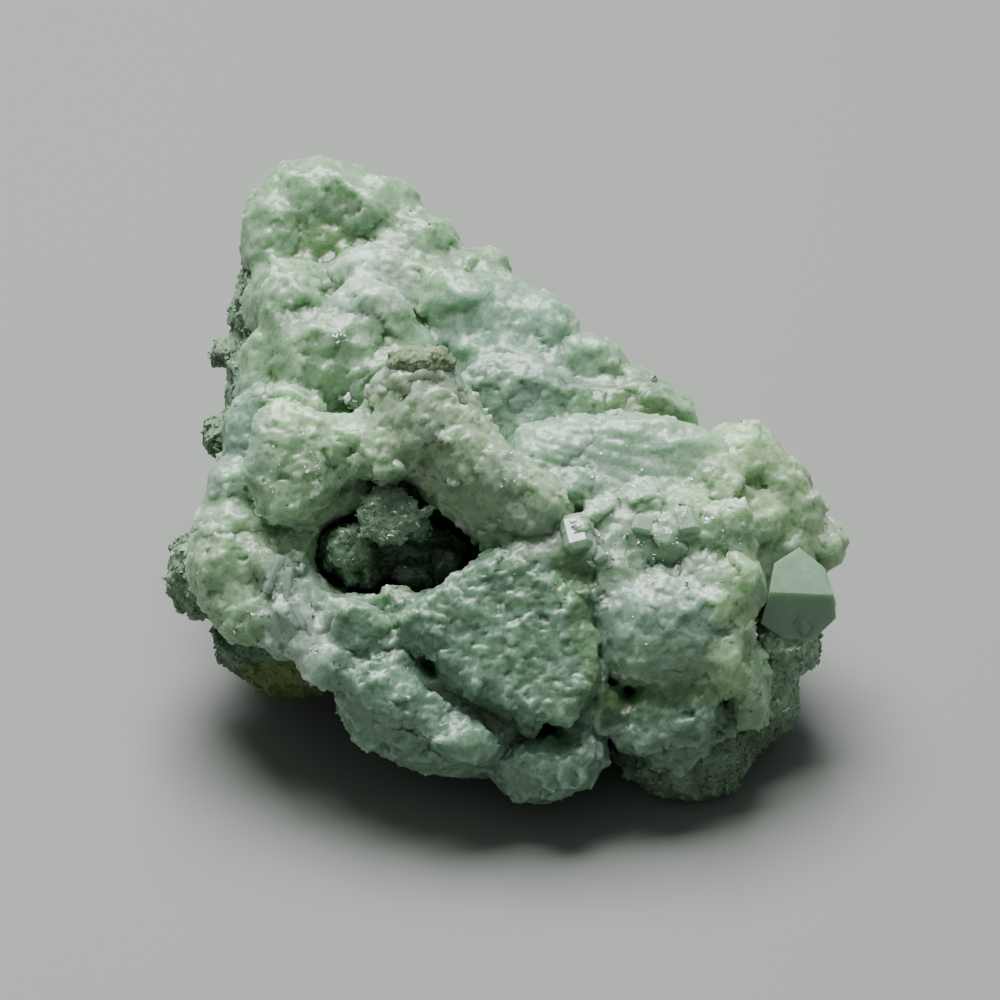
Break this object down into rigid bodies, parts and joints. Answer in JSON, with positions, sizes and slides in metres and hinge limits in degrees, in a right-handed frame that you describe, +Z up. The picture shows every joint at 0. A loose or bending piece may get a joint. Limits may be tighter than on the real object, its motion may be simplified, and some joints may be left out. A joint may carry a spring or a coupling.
{
  "type": "prehnite mineral specimen",
  "caption": "Lumpy pale green crystal mass on dark granular host rock, with a slanted pillar, a crystal-lined hollow and worn feet; stands free as a display specimen.",
  "frame": {"origin": "middle of the specimen's box, on the plane its feet stand on", "axes": "+X to the right as seen from the show face, -Y towards the viewer, +Z up"},
  "size_m": [0.0693, 0.0634, 0.0441],
  "materials": {
    "host_rock": "rough granular",
    "prehnite": "waxy translucent crystal",
    "pocket_crystals": "glassy small crystals",
    "pillar_cap": "rough"
  },
  "bodies": {
    "root": {"matrix": "host_rock", "prehnite": "prehnite", "pocket_crystals": "pocket_crystals", "pillar_cap": "pillar_cap"}
  },
  "joints": []
}
